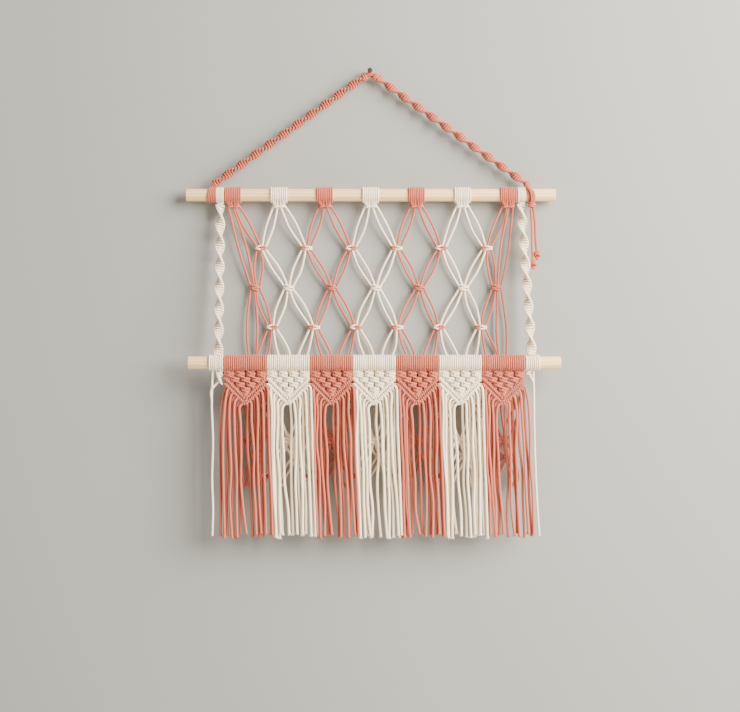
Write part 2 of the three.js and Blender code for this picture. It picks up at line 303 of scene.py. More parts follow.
def cordTree():
    graph, ports = startTree("cord round a path", [
        ("Sides", "NodeSocketInt"), ("Material", "NodeSocketMaterial")])
    curve = graph.add("GeometryNodeMeshToCurve", None, {"Mesh": ports["Geometry"]})
    thick = graph.add("GeometryNodeInputNamedAttribute", None, {"Name": "thick"})
    tube = tubeAround(graph, curve, ports["Sides"], thick)
    closeTree(graph, tube, ports["Material"])
    return graph.tree


def windingTree():
    graph, ports = startTree("cord wound on a dowel", [
        ("Turns", "NodeSocketInt"), ("Pitch", "NodeSocketFloat"), ("Start", "NodeSocketVector"),
        ("Ring Radius", "NodeSocketFloat"), ("Cord Radius", "NodeSocketFloat"),
        ("Unevenness", "NodeSocketFloat"), ("Seed", "NodeSocketInt"),
        ("Sides", "NodeSocketInt"), ("Material", "NodeSocketMaterial")])
    pitch = graph.add("ShaderNodeCombineXYZ", None, {"X": ports["Pitch"]})
    spots = graph.add("GeometryNodeMeshLine", None, {
        "Count": ports["Turns"], "Start Location": ports["Start"], "Offset": pitch})
    loop = graph.add("GeometryNodeCurvePrimitiveCircle", None,
                     {"Resolution": 40, "Radius": ports["Ring Radius"]})
    uneven = ports["Unevenness"]
    lean = graph.add("FunctionNodeRandomValue", None, {
        2: -1.0 * uneven, 3: uneven, "Seed": ports["Seed"]}, out=1)
    tilt = graph.add("ShaderNodeCombineXYZ", None, {"X": lean, "Y": math.pi / 2, "Z": lean * 0.6})
    size = graph.add("FunctionNodeRandomValue", None, {
        2: 1 - 0.5 * uneven, 3: 1 + 0.5 * uneven, "Seed": ports["Seed"] + 5}, out=1)
    tone = graph.add("FunctionNodeRandomValue", None,
                     {2: 0.0, 3: 1.0, "Seed": ports["Seed"] + 9}, out=1)
    toned = graph.add("GeometryNodeStoreNamedAttribute", None,
                      {"Geometry": spots, "Name": "tone", "Value": tone})
    rings = graph.add("GeometryNodeInstanceOnPoints", None, {
        "Points": toned, "Instance": loop, "Rotation": tilt, "Scale": size})
    curves = graph.add("GeometryNodeRealizeInstances", None, {"Geometry": rings})
    tube = tubeAround(graph, curves, ports["Sides"], ports["Cord Radius"])
    closeTree(graph, tube, ports["Material"])
    return graph.tree


cordNodes = cordTree()
windingNodes = windingTree()


def applyTree(mesh, name, tree, values):
    piece = linked(name, mesh)
    modifier = piece.modifiers.new("shape", "NODES")
    modifier.node_group = tree
    for item in tree.interface.items_tree:
        if item.in_out == "INPUT" and item.name in values:
            modifier[item.identifier] = values[item.name]
    bpy.context.view_layer.update()
    graph = bpy.context.evaluated_depsgraph_get()
    result = bpy.data.meshes.new_from_object(piece.evaluated_get(graph), depsgraph=graph)
    piece.modifiers.remove(modifier)
    piece.data = result
    result.name = name
    return piece


# Paths

def angles(count, perTurn):
    return [2 * math.pi * i / perTurn for i in range(count)]


def smoothPath(points):
    spots = np.array(points, float)
    padded = np.vstack([2 * spots[0] - spots[1], spots, 2 * spots[-1] - spots[-2]])
    dense = []
    for i in range(1, len(padded) - 2):
        before, start, end, after = padded[i - 1:i + 3]
        for t in np.linspace(0, 1, 10, endpoint=False):
            dense.append(0.5 * (2 * start + (end - before) * t
                                + (2 * before - 5 * start + 4 * end - after) * t ** 2
                                + (3 * start - before - 3 * end + after) * t ** 3))
    dense.append(padded[-2])
    dense = np.array(dense)
    reach = np.concatenate([[0], np.cumsum(np.linalg.norm(np.diff(dense, axis=0), axis=1))])
    count = max(3, int(round(reach[-1] / rope["step"])) + 1)
    marks = np.linspace(0, reach[-1], count)
    return np.stack([np.interp(marks, reach, dense[:, axis]) for axis in range(3)], axis=1)


def offsetPath(place, offsets):
    return smoothPath([(place.x + x * mm, place.y + y * mm, place.z + z * mm) for x, y, z in offsets])


def turnedFaces(rings, around):
    # Faces of a turned shape whose points go ring by ring
    faces = []
    for ring in range(rings - 1):
        for k in range(around):
            a, b, after = ring * around, (ring + 1) * around, (k + 1) % around
            faces.append((a + k, a + after, b + after, b + k))
    return faces


# A cord's random colour shift; values given below zero are painted shade
def strand(points, radius=rope["radius"], tone=None):
    spots = np.array(points, float)
    return {"points": spots, "thick": radius, "tone": dice.random() if tone is None else tone}


def cordPiece(name, strands, material, body, nodes):
    places, edges, thick, tones = [], [], [], []
    for line in strands:
        first = len(places)
        places.extend(line["points"].tolist())
        edges.extend((first + i, first + i + 1) for i in range(len(line["points"]) - 1))
        thick.extend([line["thick"]] * len(line["points"]))
        tones.extend([line["tone"]] * len(line["points"]))
    mesh = meshOf(name, places, edges, [])
    mesh.attributes.new("thick", "FLOAT", "POINT").data.foreach_set("value", thick)
    mesh.attributes.new("tone", "FLOAT", "POINT").data.foreach_set("value", tones)
    piece = applyTree(mesh, name, cordNodes, {"Sides": rope["sides"], "Material": material})
    return settle(piece, body, nodes)


def settle(piece, body, nodes):
    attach(piece, body)
    if nodes:
        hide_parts(*nodes)
    return piece


def windingPiece(name, start, turns, pitch, axis, material, body, nodes, seed):
    mesh = bpy.data.meshes.new(name)
    piece = applyTree(mesh, name, windingNodes, {
        "Turns": turns, "Pitch": pitch, "Start": (start, axis.y, axis.z),
        "Ring Radius": windRadius, "Cord Radius": rope["packed"], "Unevenness": 0.03,
        "Seed": seed, "Sides": 10, "Material": material})
    return settle(piece, body, nodes)


def windingOver(name, node, turns, axis, material, body, seed):
    # Fills the node's box from end to end
    low, high = boxOf(node)
    pitch = (high.x - low.x) / turns
    return windingPiece(name, low.x + pitch / 2, turns, pitch, axis, material, body, [node], seed)


def joined(name, pieces):
    # Makes one piece of several that ride on the same body.
    bpy.ops.object.select_all(action="DESELECT")
    for piece in pieces:
        piece.select_set(True)
    bpy.context.view_layer.objects.active = pieces[0]
    bpy.ops.object.join()
    pieces[0].name = name
    return pieces[0]


# A collar is one cord going round a bundle of strands

def collar(centre, halfWidth, halfDepth, slant, radius=rope["packed"]):
    turns, count = 1.12, 29
    points = []
    for i in range(count + 1):
        angle = math.pi + 2 * math.pi * turns * i / count - 0.06 * 2 * math.pi
        across = math.cos(angle) * halfWidth
        deep = math.sin(angle) * halfDepth
        points.append((centre[0] + across, centre[1] + deep, centre[2] + slant * across / halfWidth))
    return strand(points, radius)


def collars(centre, rows, radius=rope["packed"]):
    # A knot's collars: the shift, half width, half depth, lift and slant of each, in mm
    x, y, z = centre
    return [collar((x + shift * mm, y, z + lift * mm), wide * mm, deep * mm, slant * mm, radius)
            for shift, wide, deep, lift, slant in rows]


def squareKnot(centre, halfWidth, halfDepth, height, rows=3):
    cords = []
    for row in range(rows):
        z = centre[2] + height * (0.5 - (row + 0.5) / rows)
        slant = (0.9 if row % 2 else -0.9) * mm
        cords.append(collar((centre[0], centre[1], z), halfWidth, halfDepth, slant))
    return cords


# Half-knot sinnets: two cords wound in turn round a core, on an oval that slowly turns

sinnetShape = {
    "halfWidth": 5.9 * mm,
    "halfDepth": 2.0 * mm,
    "advance": 7.9 * mm,     # one full turn of either cord
    "edgeRun": 0.75,         # how much of the advance is made along the edges
    "points": 22,            # to a turn
    "radius": 1.32 * mm,
}


def sinnetStrands(start, end, halfTwist, startTurn, handed=1, wide=1.0):
    start, end = Vector(start), Vector(end)
    along = (end - start).normalized()
    side = along.cross(Vector((0, 1, 0))).normalized()
    out = side.cross(along)
    length = (end - start).length
    turns = length / sinnetShape["advance"]
    count = int(turns * sinnetShape["points"])

    def facing(reach):
        turn = startTurn + handed * math.pi * reach / halfTwist
        return side * math.cos(turn) + out * math.sin(turn), out * math.cos(turn) - side * math.sin(turn)

    cords = []
    for phase in (0, math.pi):
        points = []
        for i in range(count + 1):
            angle = 2 * math.pi * turns * i / count
            run = angle / (2 * math.pi) + sinnetShape["edgeRun"] * math.sin(2 * angle) / (4 * math.pi)
            reach = min(max(run * sinnetShape["advance"], 0), length)
            across = math.cos(angle + phase) * sinnetShape["halfWidth"] * wide
            deep = math.sin(angle + phase) * sinnetShape["halfDepth"]
            flat, lift = facing(reach)
            points.append(start + along * reach + flat * across + lift * deep)
        cords.append(strand(points, sinnetShape["radius"], 0.5 + 0.2 * math.cos(phase)))
    # The two core cords are darkened by -0.7: painted shade inside the sinnet
    for k in range(2):
        points = []
        for i in range(int(length / (4 * mm)) + 1):
            reach = i * 4 * mm
            points.append(start + along * reach + facing(reach)[0] * (k - 0.5) * 3.4 * mm)
        cords.append(strand(points, 1.6 * mm, -0.7))
    return cords


# Hanger

hanger = {
    "halfTwist": 26 * mm,
    "firstBulge": {"left": 24.8 * mm, "right": 19 * mm},    # from the dowel up to the first broad face
    "inset": 4.6 * mm,       # how far inwards of its knot a rope ends
}


def knotOf(node):
    low, high = boxOf(node)
    return Vector(((low.x + high.x) / 2, upperAxis.y, high.z - 5 * mm))


def buildHanger():
    low, high = boxOf("hanger_apex")
    tip = Vector((high.x - 2 * mm, (low.y + high.y) / 2, 2 * mm))
    for side, label in ((-1, "left"), (1, "right")):
        start = Vector((side * tip.x, tip.y, tip.z))
        knot = knotOf(f"hanger_{label}_wrap")
        end = knot + Vector((-side * hanger["inset"], 0, 2 * mm))
        twisted = (end - start).length - hanger["firstBulge"][label]
        turn = -math.pi * twisted / hanger["halfTwist"] * side
        cords = sinnetStrands(start, end, hanger["halfTwist"], turn, side)
        cordPiece(f"hanger_rope_{label}", cords, terracotta, "hanger", [f"hanger_{label}"])
    arc = [(-tip.x - 2 * mm, tip.y, 0.6 * mm), (-6 * mm, tip.y, 5.2 * mm), (0, tip.y, 6.8 * mm),
           (6 * mm, tip.y, 5.2 * mm), (tip.x + 2 * mm, tip.y, 0.6 * mm)]
    bight = []
    for lift, deep in ((-3.0, 0.4), (0.2, -1.6), (3.2, 0.2), (0.2, 1.8)):
        shifted = [(x, y + deep * mm, z + lift * mm) for x, y, z in arc]
        bight.append(strand(smoothPath(shifted)))
    for k in (-1, 1):
        middle = Vector((k * 8.5 * mm, tip.y, 4.2 * mm))
        bight += leaningCollars(middle, Vector((0.82, 0, -0.57 * k)), 5.2 * mm, 3.4 * mm, 2)
    cordPiece("hanger_bight", bight, terracotta, "hanger", ["hanger_apex"])


def leaningCollars(centre, along, halfWidth, halfDepth, rows):
    side = along.cross(Vector((0, 1, 0))).normalized()
    cords = []
    for row in range(rows):
        base = centre + along * ((row - (rows - 1) / 2) * 3 * mm)
        points = []
        for angle in angles(29, 26):
            points.append(base + side * math.cos(angle) * halfWidth
                          + Vector((0, 1, 0)) * math.sin(angle) * halfDepth
                          + along * math.cos(angle) * 0.8 * mm)
        cords.append(strand(points, rope["packed"]))
    return cords


def leaningRing(foot, head):
    # One turn round the upper dowel, whose top stands at another x than its bottom
    points = []
    for angle in angles(38, 36):
        share = (1 + math.cos(angle)) / 2
        points.append((foot + (head - foot) * share, upperAxis.y + math.sin(angle) * windRadius,
                       upperAxis.z + math.cos(angle) * windRadius))
    return strand(points, rope["packed"] - 0.1 * mm)


def buildHangerWraps():
    for side, label in ((-1, "left"), (1, "right")):
        node = f"hanger_{label}_wrap"
        low = boxOf(node)[0]
        knot = knotOf(node)
        ropeEnd = knot.x - side * hanger["inset"]
        cords = []
        if side < 0:
            for k in range(5):
                cords.append(leaningRing(low.x + (1.6 + 2.75 * k) * mm, ropeEnd + (k - 2.6) * 2.2 * mm))
            cords += leaningCollars(Vector((ropeEnd, knot.y, knot.z - 1.2 * mm)), Vector((0.72, 0, 0.69)),
                                    4.8 * mm, 3.2 * mm, 3)
        else:
            for k in range(3):
                cords.append(leaningRing(knot.x + (k * 3 - 1.4) * mm, knot.x + (k * 2.7 - 5.2) * mm))
            bound = Vector((ropeEnd + 0.6 * mm, knot.y, knot.z - 0.6 * mm))
            cords += leaningCollars(bound, Vector((0.75, 0, -0.66)), 4.8 * mm, 3.2 * mm, 2)
            below = tailKnotPlace()
            cords += squareKnot(below, 4.8 * mm, 3.2 * mm, 7.6 * mm)
            y, z = upperAxis.y, upperAxis.z
            for k in (-1, 0, 1):
                cords.append(strand(smoothPath([
                    (ropeEnd + (1.5 + k) * mm, y - 7 * mm, z + 10.5 * mm),
                    (knot.x + (k * 2.2 + 2.0) * mm, y - 13.2 * mm, z + 3 * mm),
                    (below[0] + (k * 2 + 1.4) * mm, y - 11 * mm, z - 8 * mm),
                    (below[0] + k * 1.2 * mm, below[1], below[2] - 4 * mm)])))
        cordPiece(f"hanger_wrap_{label}", cords, terracotta, "hanger", [node])


def tailKnotPlace():
    low, high = boxOf("tail_inner")
    return (low.x + 2.7 * mm, (low.y + high.y) / 2, high.z + 5.3 * mm)


tails = {
    "radius": 1.95 * mm,
    "shift": {"inner": -1.2 * mm, "outer": 2.6 * mm},       # from the middle of the knot above
    "bend": {"inner": 2.0 * mm, "outer": 3.6 * mm},
}


def buildTails():
    for name in ("inner", "outer"):
        low, high = boxOf(f"tail_{name}")
        knot = middleOf(f"tail_{name}_knot")
        top = (tailKnotPlace()[0] + tails["shift"][name], (low.y + high.y) / 2, high.z)
        reach = top[2] - knot.z - 4 * mm
        bend = tails["bend"][name]
        route = [(top[0] + bend * across, top[1], top[2] - reach * down)
                 for across, down in ((0, 0), (0.55, 0.25), (0.8, 0.5), (1, 0.76))]
        route = smoothPath(route + [(knot.x - 0.3 * mm, top[1], top[2] - reach)])
        tail = cordPiece(f"tail_cord_{name}", [strand(route, tails["radius"])], terracotta, "hanger",
                         [f"tail_{name}"])
        end = tailEndKnot(f"tail_knot_{name}", knot, [f"tail_{name}_knot"])


def tailEndKnot(name, centre, nodes):
    x, y, z = centre
    loops = []
    for tilt, size in ((0.6, 1.0), (-0.8, 1.05), (1.7, 0.85), (-0.2, 0.95)):
        points = []
        for angle in angles(27, 24):
            points.append((x + math.cos(angle) * 3.9 * mm * size, y + math.sin(angle) * 3.0 * mm * size,
                           z + math.cos(angle + tilt) * 2.9 * mm * tilt))
        loops.append(strand(points, 1.6 * mm))
    for angle in angles(9, 9):
        tip = (x + math.cos(angle) * 2.6 * mm, y + math.sin(angle) * 1.8 * mm, z - 8.4 * mm)
        loops.append(strand([(x, y, z - 2 * mm), tip], 0.7 * mm))
    return cordPiece(name, loops, terracotta, "hanger", nodes)


# Dowels

def dowelPiece(node, axis, body):
    low, high = boxOf(node)
    ease = 1.2 * mm
    profile = [(low.x, 0), (low.x, dowelRadius - ease)]
    profile += [(low.x + ease * (1 - math.cos(a)), dowelRadius - ease * (1 - math.sin(a)))
                for a in (0.4, 0.8, 1.2)]
    profile += [(low.x + ease, dowelRadius)]
    profile += [(low.x + high.x - x, r) for x, r in reversed(profile)]
    around = 96
    places = []
    for x, r in profile:
        for angle in angles(around, around):
            places.append((x, axis.y + r * math.sin(angle), axis.z + r * math.cos(angle)))
    mesh = meshOf(node, places, [], turnedFaces(len(profile), around))
    work = bmesh.new()
    work.from_mesh(mesh)
    bmesh.ops.remove_doubles(work, verts=work.verts, dist=1e-7)
    bmesh.ops.recalc_face_normals(work, faces=work.faces)
    for face in work.faces:
        face.smooth = abs(face.normal.x) < 0.9
    work.to_mesh(mesh)
    work.free()
    piece = linked("turned_" + node, mesh)
    mesh.materials.append(pineMaterial("pine_" + node, axis))
    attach(piece, body)
    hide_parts(node)


# Side sinnets, with their rings on the upper dowel and their wraps on the lower one

sideRope = {
    "ringOut": 19.4 * mm,        # ring's middle, outwards of the end top knot's
    "footShare": {"left": 0.38, "right": 0.47},      # of the lower wrap's width, from its inner end
    "halfTwist": 32 * mm,
    "startTurn": {"left": 0.2, "right": 0.4},
    "wide": 1.14,                # against the hanger's sinnets
    "wrapTurns": 7,
    "wrapPitch": 3.1 * mm,
    "end": {"left": ((-1.5, 1, -13), (-8, 0, -20), (-13.4, -1, -27), (-13.6, 0, -36), (-12.3, 0, -45)),
            "right": ((1, 0, -3), (4.6, -1, -9), (7.6, 0, -17), (8.2, 0, -30))},
}


def buildSides():
    for side, label in ((-1, "left"), (1, "right")):
        node = f"side_sinnet_{label}"
        wrapLow, wrapHigh = boxOf(f"side_bottom_wrap_{label}")
        inner = wrapHigh.x if side < 0 else wrapLow.x
        width = wrapHigh.x - wrapLow.x
        foot = Vector((inner + side * width * sideRope["footShare"][label], lowerAxis.y,
                       lowerAxis.z + windRadius))
        head = Vector((topX[0 if side < 0 else -1] + side * sideRope["ringOut"], upperAxis.y,
                       upperAxis.z - windRadius - 4 * mm))
        cords = sinnetStrands(head, foot, sideRope["halfTwist"], sideRope["startTurn"][label], 1,
                              sideRope["wide"])
        cords += squareKnot((head.x, head.y, head.z + 1.5 * mm), 5.2 * mm, 3.2 * mm, 6.5 * mm)
        ropeKnots = cordPiece("knots_" + node, cords, cream, "front", [node])
        wound = windingPiece("wound_" + node, head.x - 4.5 * mm, 4, 3.0 * mm, upperAxis, cream,
                             "front", [], 31 + side)
        joined(f"side_rope_{label}", [ropeKnots, wound])
        turns, pitch = sideRope["wrapTurns"], sideRope["wrapPitch"]
        first = (wrapLow.x + wrapHigh.x) / 2 - pitch * (turns - 1) / 2
        ends = windingPiece("wound_bottom", first, turns, pitch, lowerAxis, cream, "front",
                            [f"side_bottom_wrap_{label}"], 41 + side)
        knot = Vector((inner + side * 5.8 * mm, lowerAxis.y, lowerAxis.z - windRadius - 3.4 * mm))
        cords = squareKnot(knot, 3.2 * mm, 2.4 * mm, 8.4 * mm)
        if side < 0:
            cords += sinnetStrands(knot, knot + Vector((-1, 2, -17)) * mm, 30 * mm, 0.5)
        cords.append(strand(offsetPath(knot, sideRope["end"][label])))
        below = cordPiece("knot_bottom", cords, cream, "front", [])
        joined(f"side_wrap_{label}", [ends, below])


sideStrand = {               # mm to the right of the wrap's inner end, then the route: shifts and drops
    "left": (-17, ((0, 0), (-1.5, 50), (0.5, 105), (-1, 160), (0.5, 205), (-0.5, 247))),
    "right": (13, ((0, 0), (1, 45), (1.5, 90), (3, 140), (5.5, 195), (9, 247))),
}


def buildSideStrands():
    for label, (shift, bends) in sideStrand.items():
        inner = boxOf(f"side_bottom_wrap_{label}")[1 if label == "left" else 0].x
        start = Vector((inner + shift * mm, lowerAxis.y, boxOf(f"side_strand_{label}")[1].z))
        route = offsetPath(start, [(across, 0, -drop) for across, drop in bends])
        piece = cordPiece(f"side_strand_cord_{label}", [strand(route)], cream, "front",
                          [f"side_strand_{label}"])


# Net: two pairs of strands a column, in knots with each other and with the next column by turns

net = {
    "rows": 7,
    "rowTaper": (0, 0.2, 0.6, 1.2, 1, 1, 1),     # from the pitch of the top knots to that of the wraps
    "rowDrift": (0, 5, 8, 9, 12, 9, 15),         # mm to the right
    "edgePull": (0, 0, 16, 0, 7, 0, 0),          # mm inwards, outermost columns
    "rowDrop": (0, 0, 0, 0, 13, 13, 16),         # mm lower than even spacing
    "rowBow": (1, 1, 1, 1, 1.6, 1.5, 1.7),       # how much wider the strands bow above the row
    "ownOffsets": ((-7.2, -1.4), (1.4, 7.2)),
    "sharedOffsets": ((1.4, 7.2), (-7.2, -1.4)),
    "bow": (2.2, 4.2),                           # mm that a strand bows out between knots
    "feet": ((-23.8, -2.1), (13.8, 28.4)),       # mm from the column's middle, in the front wrap
    "knotHeight": 8.5 * mm,
    "foldRise": 17 * mm,
    "knot": ((-0.8, 5.6, 3.1, 3.0, -1.1), (0.6, 7.0, 3.1, 0, 1.0), (-0.5, 5.6, 3.1, -3.0, -1.0)),
    "shared": (((-4.0, 4.0, 3.4, 2.4, 1.0), (-4.0, 4.0, 3.4, -1.6, -1.1)),     # knot with the next
               ((1.8, 6.2, 2.9, 2.1, -1.0), (1.8, 6.2, 2.9, -2.1, 1.2))),      # column, by halves
}


def rowPitch(row):
    return topPitch + (sectionPitch - topPitch) * net["rowTaper"][row]


def ownX(row, column):
    pull = {0: 1, sections - 1: -1}.get(column, 0) * net["edgePull"][row] * mm
    return topX[3] + net["rowDrift"][row] * mm + (column - 3) * rowPitch(row) + pull


def sharedX(row, column, side):
    return topX[3] + net["rowDrift"][row] * mm + (column - 3 + side / 2) * rowPitch(row)


def isOuter(column, side):
    return column + side < 0 or column + side >= sections


def backRowZ(row):
    return gatherZ - row * (gatherZ - foldZ) / net["rows"] - net["rowDrop"][row] * mm


def frontRowZ(row):
    return foldZ + net["foldRise"] + row * (panelTop - foldZ - net["foldRise"]) / 3


def halfOf(side):
    return 0 if side < 0 else 1


def backPlaces(column, side, which):
    # Knot places of one strand: (x, y, z) of each knot's middle on that strand
    half = halfOf(side)
    places = []
    for row in range(1, net["rows"]):
        if row % 2 == 0:
            x = ownX(row, column) + net["ownOffsets"][half][which] * mm
        elif isOuter(column, side):
            continue
        else:
            x = sharedX(row, column, side) + net["sharedOffsets"][half][which] * mm
        places.append((x, wallNetY, backRowZ(row), net["rowBow"][row]))
    return places


def footPlaces(column, side, which):
    # From the column's last knot behind, round the fold, to the first knot in front
    half = halfOf(side)
    last = ownX(net["rows"] - 1, column) + net["ownOffsets"][half][which] * mm
    if isOuter(column, side):
        first = last + side * 7 * mm
    else:
        first = sectionX[column] + side * sectionPitch / 2 + net["sharedOffsets"][half][which] * mm
    bends = ((0.40, wallNetY, splitZ), (0.52, wallNetY - 2 * mm, foldZ + 4 * mm),
             (0.62, (wallNetY + frontNetY) / 2, foldZ), (0.75, frontNetY + 2 * mm, foldZ + 4 * mm),
             (1.0, frontNetY, frontRowZ(0)))
    return [(last + (first - last) * share, y, z) for share, y, z in bends]


def frontPlaces(column, side, which):
    half = halfOf(side)
    centre = sectionX[column]
    own = centre + net["ownOffsets"][half][which] * mm
    shared = footPlaces(column, side, which)[-1][0]
    spread = centre + net["feet"][half][which] * mm
    return [(own, frontNetY - 0.5 * mm, frontRowZ(1), 1), (shared, frontNetY - 1 * mm, frontRowZ(2), 1),
            (spread, lowerAxis.y + 5 * mm, panelTop + 3 * mm)]


def threaded(start, knots, end, which):
    # A strand's route: straight through each knot, bowed out between them
    half = net["knotHeight"] / 2 - 1.5 * mm
    route = [Vector(start)]
    for x, y, z, wider in knots:
        down = 1 if z < route[-1].z else -1
        entry = Vector((x, y, z + half * down))
        route.append(bowed(route[-1], entry, which, wider))
        route.append(entry)
        route.append(Vector((x, y, z - half * down)))
    if end is not None:
        route.append(bowed(route[-1], Vector(end), which))
        route.append(Vector(end))
    return route


def bowed(start, end, which, wider=1):
    middle = start.lerp(end, dice.uniform(0.42, 0.58))
    low, high = net["bow"]
    reach = dice.uniform(low, high) * mm * min(1.0, (end - start).length / (50 * mm))
    middle.x += (1 if which else -1) * reach * wider
    middle.y += dice.uniform(-0.6, 0.6) * mm
    return middle


def buildBackNet(column):
    cords = []
    for side in (-1, 1):
        for which in (0, 1):
            apart = side * (7.8 if which == halfOf(side) else 1.5) * mm
            start = (topX[column] + apart, upperAxis.y, gatherZ + 5 * mm)
            knots = backPlaces(column, side, which)
            foot = footPlaces(column, side, which)[0]
            cords.append(strand(smoothPath(threaded(start, knots, foot, which))))
        for row in range(1, net["rows"], 2):
            if not isOuter(column, side):
                centre = (sharedX(row, column, side), wallNetY, backRowZ(row))
                cords += collars(centre, net["shared"][halfOf(side)])
    for row in range(2, net["rows"], 2):
        cords += collars((ownX(row, column), wallNetY, backRowZ(row)), net["knot"])
    cordPiece(f"net_wall_{column + 1}", cords, columnCotton(column), "upper", [f"net_back_{column + 1}"])


def buildFrontNet(column):
    cords = []
    for side in (-1, 1):
        for which in (0, 1):
            foot = [Vector(place) for place in footPlaces(column, side, which)]
            rest = threaded(foot[-1], frontPlaces(column, side, which)[:2], None, which)[1:]
            end = Vector(frontPlaces(column, side, which)[2])
            cords.append(strand(smoothPath(foot + rest + [bowed(rest[-1], end, which), end])))
        for row in (0, 2):
            if not isOuter(column, side):
                x = sectionX[column] + side * sectionPitch / 2
                centre = (x, frontNetY - row * 0.5 * mm, frontRowZ(row))
                cords += collars(centre, net["shared"][halfOf(side)])
    cords += collars((sectionX[column], frontNetY - 0.5 * mm, frontRowZ(1)), net["knot"])
    cordPiece(f"net_pocket_{column + 1}", cords, columnCotton(column), "pocket",
              [f"net_front_{column + 1}"])


def buildTopKnot(column):
    node = f"top_knot_{column + 1}"
    low, high = boxOf(node)
    wound = windingOver("wound_" + node, node, 9, upperAxis, columnCotton(column), "upper", 50 + column)
    middle = (low.x + high.x) / 2
    y, z = upperAxis.y, upperAxis.z - windRadius
    cords = []
    for k in (-1, 1):
        centre = (middle + k * 4.4 * mm, y, gatherZ + 3.2 * mm)
        cords += squareKnot(centre, 4.4 * mm, 3 * mm, 5.8 * mm, rows=2)
        for reach in (-0.6, 1, 2):
            cords.append(strand(smoothPath([
                (middle + k * (4 + reach * 2.8) * mm, y - 7.5 * mm, z + 4.5 * mm),
                (middle + k * (3.6 + reach * 2) * mm, y - 4 * mm, z - 2 * mm),
                (middle + k * (2 + reach) * mm, y - 1 * mm, gatherZ + 2 * mm)])))
    cords += squareKnot((middle, y + 0.6 * mm, gatherZ + 5.6 * mm), 6.4 * mm, 3 * mm, 5.8 * mm, rows=2)
    knots = cordPiece("knots_" + node, cords, columnCotton(column), "upper", [])
    joined(f"top_wrap_{column + 1}", [wound, knots])


def buildFrontWrap(column):
    windingOver(f"lower_wrap_{column + 1}", f"front_wrap_{column + 1}", 20, lowerAxis,
                columnCotton(column), "front", 70 + column)


# Flaps: rows of square knots, two ridges along each edge, and a fringe

flap = {
    "knotPitch": 15.9 * mm,
    "knotRow": 7.5 * mm,
    "firstRow": 4.7 * mm,
    "innerCorner": 10.4 * mm,    # below the top of the panel
    "innerApex": 41.6 * mm,
    "outerCorner": 18.6 * mm,
    "outerApex": 49.8 * mm,
    "halfWidth": 30.8 * mm,
    "coil": 1.45 * mm,           # how far a hitch stands off its holding cord
    "hitch": 3.4 * mm,
    "radius": 1.4 * mm,          # cord pulled tight in the knots
    "backing": 12,               # cords that run behind the knots, darkened as painted shade in the holes between them
    "knot": ((-0.6, 4.9, 2.6, 2.3, -1.5), (0.4, 6.0, 2.6, 0, 1.5), (-0.4, 4.7, 2.6, -2.3, -1.3)),
}


def ridge(x, side, corner, apex):
    start = Vector((x + side * flap["halfWidth"], flapY, panelTop - corner))
    end = Vector((x, flapY, panelTop - apex))
    along = (end - start).normalized()
    lift = Vector((0, -1, 0))
    across = along.cross(lift)
    length = (end - start).length
    turns = length / flap["hitch"]
    points = []
    for i, angle in enumerate(angles(int(turns * 14) + 1, 14)):
        points.append(start + along * (flap["hitch"] * i / 14)
                      + lift * math.cos(angle) * (flap["coil"] + 0.3 * mm)
                      - across * side * math.sin(angle) * flap["coil"])
    return [strand(points, 1.5 * mm), strand([start, end], 2.0 * mm)]


def buildPanel(column):
    x = sectionX[column]
    cords = []
    for row in range(4):
        count = 4 - row
        z = panelTop - flap["firstRow"] - row * flap["knotRow"]
        for i in range(count):
            middle = x + (i - (count - 1) / 2) * flap["knotPitch"]
            cords += panelKnot((middle, flapY, z))
            cords += panelLegs(middle, z)
            if row == 0:
                for k in (-1.5, -0.5, 0.5, 1.5):
                    cords.append(strand(smoothPath([
                        (middle + k * 3.1 * mm, lowerAxis.y - 3 * mm, panelTop + 4 * mm),
                        (middle + k * 2.2 * mm, flapY, z + 2 * mm)]), flap["radius"]))
    for drop in (33.2, 36.2, 44.6):
        cords += collars((x, flapY, panelTop), ((0, 2.6 if drop > 40 else 3.4, 2.4, -drop, 1.1),),
                         flap["radius"])
    slope = (flap["innerApex"] - flap["innerCorner"]) / flap["halfWidth"]
    for k in range(flap["backing"]):
        shift = (k - (flap["backing"] - 1) / 2) * 4.9 * mm
        reach = flap["innerApex"] - abs(shift) * slope
        # The backing cords are darkened by -1.2: painted shade in the holes between the knots
        cords.append(strand(smoothPath([
            (x + shift, flapY + 1.9 * mm, panelTop + 2 * mm),
            (x + shift * 0.97, flapY + 1.9 * mm, panelTop - reach * 0.5),
            (x + shift * 0.9, flapY + 1.2 * mm, panelTop - reach)]), flap["radius"], -1.2))
    for side in (-1, 1):
        cords += ridge(x, side, flap["innerCorner"], flap["innerApex"])
        cords += ridge(x, side, flap["outerCorner"], flap["outerApex"])
        for k in range(3):
            edge = x + side * (flap["halfWidth"] - (0.4 + k * 2.9) * mm)
            cords.append(strand(smoothPath([(edge, lowerAxis.y - 4 * mm, panelTop + 4 * mm),
                                            (edge, flapY, panelTop - (8 + 3 * k) * mm),
                                            (edge, flapY, panelTop - (15 + 3 * k) * mm)]),
                                flap["radius"]))
    cordPiece(f"flap_panel_{column + 1}", cords, columnCotton(column), f"flap_{column + 1}",
              [f"knot_panel_{column + 1}"])


def panelKnot(centre):
    x, y, z = centre
    cords = collars((x, y - 0.3 * mm, z), flap["knot"], flap["radius"])
    for side in (-1, 1):
        cords.append(strand(smoothPath([(x + side * 3.4 * mm, y + 0.6 * mm, z + 4.2 * mm),
                                        (x + side * 5.7 * mm, y - 1.2 * mm, z + 0.4 * mm),
                                        (x + side * 3.4 * mm, y + 0.6 * mm, z - 4.2 * mm)]), 1.45 * mm))
    return cords


